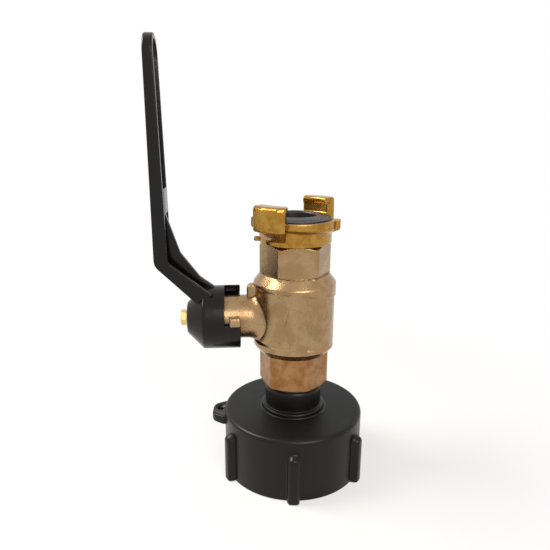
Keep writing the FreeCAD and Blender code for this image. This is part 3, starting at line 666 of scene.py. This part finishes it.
def boss_shell():
    """A root that rides on the barrel: at an angle round the stem the surface stands h beyond the barrel,
    x = -(sqrt(R^2 - y^2) + h), and narrows from the root's radius to the boss's as h grows."""
    t = np.linspace(0, 1, 14)
    root = np.stack([13.7 - 3.0 * np.sin(t * np.pi / 2) ** 0.8, 4.6 * (1 - np.cos(t * np.pi / 2)) - 0.9], 1)
    angle = np.linspace(0, 2 * np.pi, 240, endpoint=False)[:, None]
    y = root[None, :, 0] * np.sin(angle)
    reach = np.sqrt(barrel ** 2 - y ** 2) + root[None, :, 1]
    flared = np.stack([root[None, :, 0] * np.cos(angle), y, reach], -1)
    start = reach[:, -1:]
    run = traced([(boss, 0.0), (boss, 1.0, 0.0, 0.1)], closed=False, step=0.1)[1:]
    wall = start + (39.4 - start) * run[None, :, 1]
    straight = np.stack([boss * np.cos(angle) + 0 * wall, boss * np.sin(angle) + 0 * wall, wall], -1)
    rest = traced([(boss, 39.5), (boss, 40.0, 0.4), (8.0, 40.0), (8.0, 30.0), (stem_bore, 30.0),
                   (stem_bore, 12.0),
                   (12.0, 12.0)], closed=False, step=6.0)
    rest = revolve(rest, 240)
    return lay_on_stem(np.concatenate([flared, straight, rest], axis=1))


lug_start, lug_end, lug_turn, lug_half = 27.1, 32.3, 82.0, 2.1


def stop_lug():
    """Small cast block turned round the stem from straight up towards the front."""
    outline = traced([(lug_start, 9.0), (lug_end, 9.0), (lug_end, 16.5, 0.9), (lug_start, 16.5, 0.9)],
                     step=0.8)
    flat, across = slab(outline, lug_half, 0.6)
    turn = math.radians(lug_turn)
    up = flat[..., 1] * math.cos(turn) + across * math.sin(turn)
    front = flat[..., 1] * math.sin(turn) - across * math.cos(turn)
    return np.stack([-flat[..., 0], -front, up + stem_level], axis=-1)


body_profile = traced([
    (16.05, joint), (17.2, joint, 0.3, 0.6), (barrel, joint + 3.6, 2.2, 0.42),
    (barrel, shoulder - 3.9, 1.4, 0.45),
    (16.75, shoulder + 0.6, 0.5, 0.5), (15.2, shoulder + 0.6), (hex_corner, shoulder + 0.9, 0.0, 0.8),
    (hex_corner, outlet - 1.3, 0.25, 0.3), (15.2, outlet, 0.2), (13.6, outlet, 0.2),
    (thread_bore, outlet - 0.5, 0.0, 8.0),
    (thread_bore, outlet - 14.6), (waterway, outlet - 14.6, 0.0, 8.0), (waterway, stem_level + 13.2),
    (13.8, stem_level + 13.2),
    (13.8, stem_level + 9.0), (15.7, stem_level + 9.0, 0.0, 8.0), (15.7, joint + 9.3),
    (16.05, joint + 9.3, 0.0, 8.0)])
fin_outline = traced([(17.2, 0.0), (23.7, 0.0), (23.7, 16.8, 2.6), (17.2, 16.8)], step=0.8)
valve_body = skin("dressed_valve_body", [
    (revolve(body_profile, 420, body_shape), True, True, None),
    (boss_shell(), True, True, None),
    (side_slab(fin_outline, 2.5, 0.9), True, False, "rows"),
    (stop_lug(), True, False, "rows")], "valve", nickel, ["valve_body"])

# %% [markdown]
# ## The end connector
# The lower hexagon is left as bare sand-cast brass.  Its corners are turned down, so every upright
# edge is a narrow round strip, and a bevel below cuts each flat in an arc.

# %% End connector
def connector_shape(angle, r, z):
    """Lower of hexagon and turned radius, on the outside only."""
    six = hexagon(angle, across_flats, 46.2)
    return np.where((r > 14.6) & (z < joint - 0.02), soft_min(six, r, 0.12), r), z


connector_profile = traced([
    (thread_bore, hex_foot), (15.3, hex_foot), (hex_corner, hex_foot + 0.95, 0.2, 1.0),
    (hex_corner, joint - 0.1, 0.1),
    (16.0, joint), (16.0, joint + 7.8), (13.8, joint + 7.8), (13.8, joint + 4.3),
    (waterway, joint + 4.3, 0.0, 4.0),
    (waterway, hex_foot + 14.65), (thread_bore, hex_foot + 14.65, 0.0, 4.0)])
end_connector = skin("dressed_end_connector", [
    (revolve(connector_profile, 720, connector_shape), True, True, None)],
    "valve", raw_brass, ["end_connector"])

# %% [markdown]
# ## The claw coupling
# A tumbled brass forging.  The ring carries two cam flanges, whose under side climbs as they run
# round, and each ends in a nose that stops the mating claw.  The two claws are one section carried
# round the pipe, with flat facets on the back and a rounded bead for a lip.

# %% Claw coupling
claw_centres = (232.5, 52.5)


def coupling_shape(angle, r, z):
    """Ring radius plus the flange's reach.  The reach is a function of the angle alone, and it fades in
    over 2.4 mm below the flange's sloping under side.  A wedge under each claw is added the same way."""
    degrees = np.degrees(angle)
    out = np.zeros_like(r)
    for centre in claw_centres:
        run = (degrees - centre) % 360
        sector = ease(run, 17.0, 19.0) * (1 - ease(run, 117.7, 118.6))
        nose = ease(run, 104.6, 106.2) * (1 - ease(run, 117.7, 118.6))
        under = flange + 1.3 - 2.0 * np.clip((run - 18) / 100, 0, 1)
        lift = ease(z, under - 2.4, under)
        out = np.maximum(out, (2.0 * sector + 2.0 * nose) * lift)
        side = np.radians((degrees - centre + 180) % 360 - 180) * 21
        wedge = (1 - ease(np.abs(side), 5.2, 6.4)) * np.clip((z - flange + 5.4) / 5.4, 0, 1) ** 0.8
        out = np.maximum(out, 6.4 * wedge * (1 - ease(z, flange + 0.2, flange + 0.9)) * (z > flange - 5.4))
    outside = (r > 16.4) & (z > outlet + 0.6)
    return np.where(outside, r + out * ease(r, 16.4, 17.3), r), z


def claw_shell(centre):
    """Section of the claw carried round the pipe.  The back's radius is that of straight facets: half
    width over the cosine of the angle from each facet's middle."""
    section = traced([
        (14.6, flange), (claw_back, flange, 1.3), (claw_back, flange + 11.7, 2.0),
        (18.3, flange + 11.7, 1.2, 0.7),
        (18.3, flange + 9.2, 1.1), (20.2, flange + 8.9, 0.6, 1.2), (20.2, face, 0.8),
        (14.6, face)], step=1.2)
    turn = np.concatenate([[-20.0, -19.85, -19.4, -18.6], np.linspace(-17.6, 17.6, 60),
                           [18.6, 19.4, 19.85, 20.0]])[:, None]
    inset = np.interp(turn, [-20, -19.85, -19.4, -18.6, 18.6, 19.4, 19.85, 20],
                      [0.75, 0.45, 0.15, 0, 0, 0.15, 0.45, 0.75])
    corners = np.radians([-20.0, -15.0, -4.5, 12.5, 20.0])
    radii = np.array([24.9, 26.4, claw_back, 26.5, 24.9])
    first = np.clip(np.searchsorted(corners, np.radians(turn)) - 1, 0, 3)
    a0, a1, r0, r1 = corners[first], corners[first + 1], radii[first], radii[first + 1]
    here = np.radians(turn)
    back = r0 * r1 * np.sin(a1 - a0) / (r0 * np.sin(here - a0) + r1 * np.sin(a1 - here))
    kernel = np.array([1, 2, 3, 2, 1]) / 9
    back = np.convolve(np.pad(back[:, 0], 2, mode="edge"), kernel, "valid")[:, None]
    r, z = section[None, :, 0] + 0 * turn, section[None, :, 1] + 0 * turn
    middle_r, middle_z = 22.6, flange + 6.0
    r = r + (back - claw_back) * np.clip((r - 20.2) / 6.4, 0, 1)
    r = r - inset * np.clip((r - middle_r) / 3.0, -1, 1) * (r > 18)
    z = z - inset * np.clip((z - middle_z) / 3.0, -1, 1) * (r > 18)
    angle = np.radians(turn + centre)
    return np.stack([r * np.cos(angle), r * np.sin(angle), z], axis=-1)


def nub_shell():
    """Short round-ended pin at 178 degrees, near the ring's foot."""
    line = traced([(0.0, 15.0), (1.15, 15.0), (1.15, 20.1, 0.9), (0.0, 20.1)], closed=False, step=0.8)
    points = revolve(line, 32)
    turn = math.radians(178.0)
    out, side, up = points[..., 2], points[..., 1], points[..., 0]
    x = out * math.cos(turn) - side * math.sin(turn)
    y = out * math.sin(turn) + side * math.cos(turn)
    return np.stack([x, y, up + outlet + 1.4], axis=-1)


ring_profile = traced([
    (12.4, outlet - 14.2), (thread_crest, outlet - 13.4, 0.0, 7.0), (thread_crest, outlet),
    (ring_radius, outlet, 0.8, 0.30),
    (ring_radius, face, 0.6, 0.6), (14.4, face, 0.3), (14.4, face - 2.0), (15.6, face - 2.0),
    (15.6, face - 5.2),
    (waterway, face - 5.2, 0.0, 6.0), (waterway, outlet - 14.2)])
claw_coupling = skin("dressed_claw_coupling", [
    (revolve(ring_profile, 960, coupling_shape), True, True, None),
    (claw_shell(claw_centres[0]), False, True, "columns"),
    (claw_shell(claw_centres[1]), False, True, "columns"),
    (nub_shell(), True, False, None)], "valve", tumbled_brass, ["claw_coupling"])

# %% [markdown]
# ## The coupling's seal
# A black rubber lip seal sits in the coupling's groove.  Its crown rises in a soft cone with a
# shallow step, and the light draws a line along each ring.

# %% Coupling seal
seal_profile = traced([
    (9.9, face - 5.2), (15.6, face - 5.2), (15.6, face - 2.0), (14.4, face - 2.0), (14.4, face),
    (17.2, face, 0.15),
    (17.1, face + 0.62, 0.25), (15.4, face + 0.80, 0.4), (14.9, face + 1.12, 0.4), (10.9, face + 1.88, 0.5),
    (10.0, face + 1.0, 0.3), (9.9, face - 1.2)], step=0.5)
coupling_seal = skin("dressed_coupling_seal", [(revolve(seal_profile, 240), True, True, None)],
                     "valve", rubber, ["coupling_seal"])

# %% [markdown]
# ## The lever
# A cast lever in thick black paint: a coned hub with a skirt, and a cranked arm that is a channel
# open towards the pipe.  The arm's section is carried along the arm's outline, inset by inset, so
# that the wall follows the rounded end.  Two guide lines, one on the outer face and one on the rim,
# place every point between them.

# %% Lever
def guide(q, upper, corner, lower, soft=2.6):
    """Point on a bent line at signed distance share q: straight to `upper` for q > 0, to `lower` for
    q < 0, with a parabola across the corner."""
    upper, corner, lower = (np.asarray(p, float) for p in (upper, corner, lower))
    up, down = (upper - corner), (lower - corner)
    t = np.clip((q + soft) / (2 * soft), 0, 1)[..., None]
    start, end = corner + down * soft / arm_down, corner + up * soft / arm_up
    curve = (1 - t) ** 2 * start + 2 * t * (1 - t) * corner + t ** 2 * end
    q = q[..., None]
    line = corner + np.where(q > 0, up * q / arm_up, -down * q / arm_down)
    return np.where(np.abs(q) < soft, curve, line)


def arm_shell():
    """Channel section of (inset from the outline, height over the outer face), carried up one side, round
    the end and down the other side."""
    width, wall, floor_thick = 9.0, 2.4, 2.6
    quarter = np.linspace(0, np.pi / 2, 7)
    front = [(9.0, 0.0, 0.0), (6.0, 0.0, 0.0), (3.0, 0.0, 0.0)]
    edge = [(0.8 * (1 - np.sin(t)), 0.8 * (1 - np.cos(t)), 0.0) for t in quarter]
    rim = [(0.55 * (1 - np.cos(t)), 0.55 * (np.sin(t) - 1), 1.0) for t in quarter]
    inner = [(wall - 0.45 * (1 - np.sin(t)), 0.45 * (np.cos(t) - 1), 1.0) for t in quarter]
    hollow = [(wall + 0.12 + 0.9 * (1 - np.cos(t)), floor_thick + 0.9 * (1 - np.sin(t)), 0.0)
              for t in quarter]
    middle = [(6.0, floor_thick, 0.0), (9.0, floor_thick, 0.0)]
    section = np.array(front + edge + rim + inner + hollow + middle)
    inset, base, share = section.T
    top = arm_up - width
    rise = np.concatenate([np.linspace(-arm_down, -3.2, 26), np.linspace(-2.6, 2.6, 13),
                           np.linspace(3.4, top, 60)])
    bend = np.linspace(0, np.pi, 40)[1:-1]
    q = np.concatenate([rise[:, None] + 0 * inset, top + (width - inset) * np.sin(bend)[:, None],
                        rise[::-1][:, None] + 0 * inset])
    side = np.concatenate([(width - inset) + 0 * rise[:, None], (width - inset) * np.cos(bend)[:, None],
                           -(width - inset) + 0 * rise[:, None]])
    outer = guide(q, (lever_face, lever_top), (lever_face, 28.3), (45.89, 7.65))
    inner_line = guide(q, (lever_face - 4.4, lever_top), (lever_face - 6.4, 29.9), (40.0, 13.6))
    depth = np.hypot(*np.moveaxis(inner_line - outer, -1, 0))
    lift = (base + share * depth) / depth
    spot = outer + (inner_line - outer) * lift[..., None]
    return np.stack([-spot[..., 0], side, spot[..., 1] + stem_level], axis=-1)


def hub_shape(angle, r, z):
    """Window for the stop lug: the skirt's open edge is pushed up the stem where the angle lies in the
    lug's travel, widened by the lug's half width over the radius.  The bore takes the stem's two flats."""
    turn = -np.degrees(angle)
    turn = (turn + 180) % 360 - 180
    half_window = 2.3
    slack = np.degrees(np.arcsin(np.clip(half_window / np.maximum(r, 3.0), 0, 1)))
    last = lug_turn + slack
    first = lug_turn - 90 - slack
    inside = ease(turn, first - 0.8, first) * (1 - ease(turn, last, last + 0.8))
    shift = 7.6 * inside * np.clip((38.0 - z) / 11.0, 0, 1) * (r > 12)
    flats = 3.05 / np.maximum(np.abs(np.sin(angle)), 1e-3)
    return np.where(r < 5.2, np.minimum(r, flats), r), z + shift


hub_profile = traced([
    (12.5, skirt_edge, 0.2), (15.6, skirt_edge, 0.5, 0.9), (15.6, 44.8, 1.2, 0.8),
    (7.5, hub_face, 1.8, 0.6),
    (stem_bore, hub_face, 0.2), (stem_bore, 45.6), (11.3, 45.6, 1.0, 1.0), (11.3, 39.5),
    (12.5, 38.0, 0.0, 0.9)])
gusset_outline = traced([
    (65.6, 51.3), (61.2, 51.3, 0.5), (hub_face + 2.2, 32.8, 6.0), (hub_face - 6.8, 20.8, 4.0),
    (38.2, 15.0, 0.4),
    (41.5, 10.8), (50.0, 11.0), (64.9, 26.5)], step=1.0)
pad_outline = traced([(66.0, 51.3), (66.0, 63.4), (61.1, 63.4, 0.7), (60.9, 51.3, 0.7)], step=1.0)
lever = skin("dressed_lever", [
    (arm_shell(), False, False, "fold"),
    (lay_on_stem(revolve(hub_profile, 480, hub_shape)), True, True, None),
    (side_slab(gusset_outline, 1.6, 0.5), True, False, "rows"),
    (side_slab(pad_outline, 6.9, 0.2), True, False, "rows")],
    "handle", black_paint, ["lever"])

# %% [markdown]
# ## The lever's nut
# A small plated nut.  It is turned at both ends, so its corners are cut in arcs, and the stem's end
# shows in its hole.

# %% Lever nut
def nut_shape(angle, r, z):
    """Lower of hexagon and turned radius on the outside."""
    six = hexagon(angle, 7.0, 30.0)
    return np.where(r > 2.6, soft_min(six, r, 0.05), r), z


nut_foot, nut_top = -level("lever_nut", 1, 0), -level("lever_nut", 0, 0)
nut_profile = traced([
    (2.05, nut_foot), (3.7, nut_foot, 0.1), (4.05, nut_foot + 0.2, 0.1, 0.4), (4.05, nut_top - 0.45, 0.2),
    (3.45, nut_top, 0.15), (2.5, nut_top, 0.1), (2.05, nut_top - 0.4, 0.0, 0.5)])
lever_nut = skin("dressed_lever_nut", [(lay_on_stem(revolve(nut_profile, 240, nut_shape)), True, True, None)],
                 "handle", yellow_zinc, ["lever_nut"])
